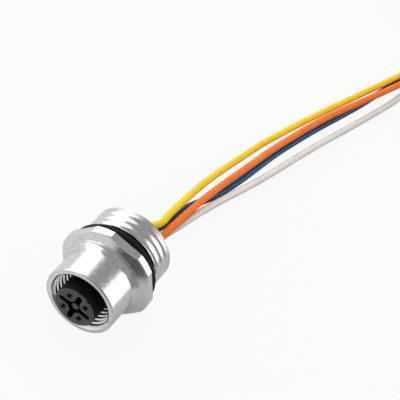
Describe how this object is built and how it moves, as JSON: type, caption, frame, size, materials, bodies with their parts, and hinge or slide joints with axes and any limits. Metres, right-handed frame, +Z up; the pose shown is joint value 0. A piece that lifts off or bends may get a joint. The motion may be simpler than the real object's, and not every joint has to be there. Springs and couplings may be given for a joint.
{
  "type": "panel socket connector",
  "caption": "Round female panel socket with a plated housing, hexagonal flange, rear fixing thread, moulded contact insert, sealing ring and loose coloured leads.",
  "frame": {"origin": "on the surface that the socket lies on, under the middle of the housing and insert, measured without the leads", "axes": "+Y along the socket's axis from the mating side to the leads, +Z up through the middle of a flat of the hexagon, +X to the right seen from the mating side"},
  "size_m": [0.0456, 0.1786, 0.018],
  "materials": {
    "plated_brass": "bright nickel plating on turned brass",
    "seal_rubber": "matt, slightly oily",
    "insert_plastic": "moulded, fine matt",
    "resin": "cast, glossy",
    "gilt_contact": "gold plated",
    "tinned_strands": "tinned copper strands",
    "lead_yellow": "smooth insulation, satin",
    "lead_blue": "smooth insulation, satin",
    "lead_orange": "smooth insulation, satin",
    "lead_white": "smooth insulation, satin",
    "coiled_leads": "the four leads together",
    "band": "moulded band"
  },
  "bodies": {
    "root": {"housing": "plated_brass", "flange_o_ring": "seal_rubber", "contact_insert": "insert_plastic", "contact_holder": "insert_plastic", "resin": "resin", "socket_contact_1": "gilt_contact", "socket_contact_2": "gilt_contact", "socket_contact_3": "gilt_contact", "socket_contact_4": "gilt_contact", "strands_1": "tinned_strands", "strands_2": "tinned_strands", "strands_3": "tinned_strands", "strands_4": "tinned_strands", "lead_yellow": "lead_yellow", "lead_blue": "lead_blue", "lead_orange": "lead_orange", "lead_white": "lead_white", "lead_coil": "coiled_leads", "coil_band_1": "band", "coil_band_2": "band", "tail_yellow": "lead_yellow", "tail_blue": "lead_blue", "tail_orange": "lead_orange", "tail_white": "lead_white", "bare_end_yellow": "tinned_strands", "bare_end_blue": "tinned_strands", "bare_end_orange": "tinned_strands", "bare_end_white": "tinned_strands"}
  },
  "joints": []
}
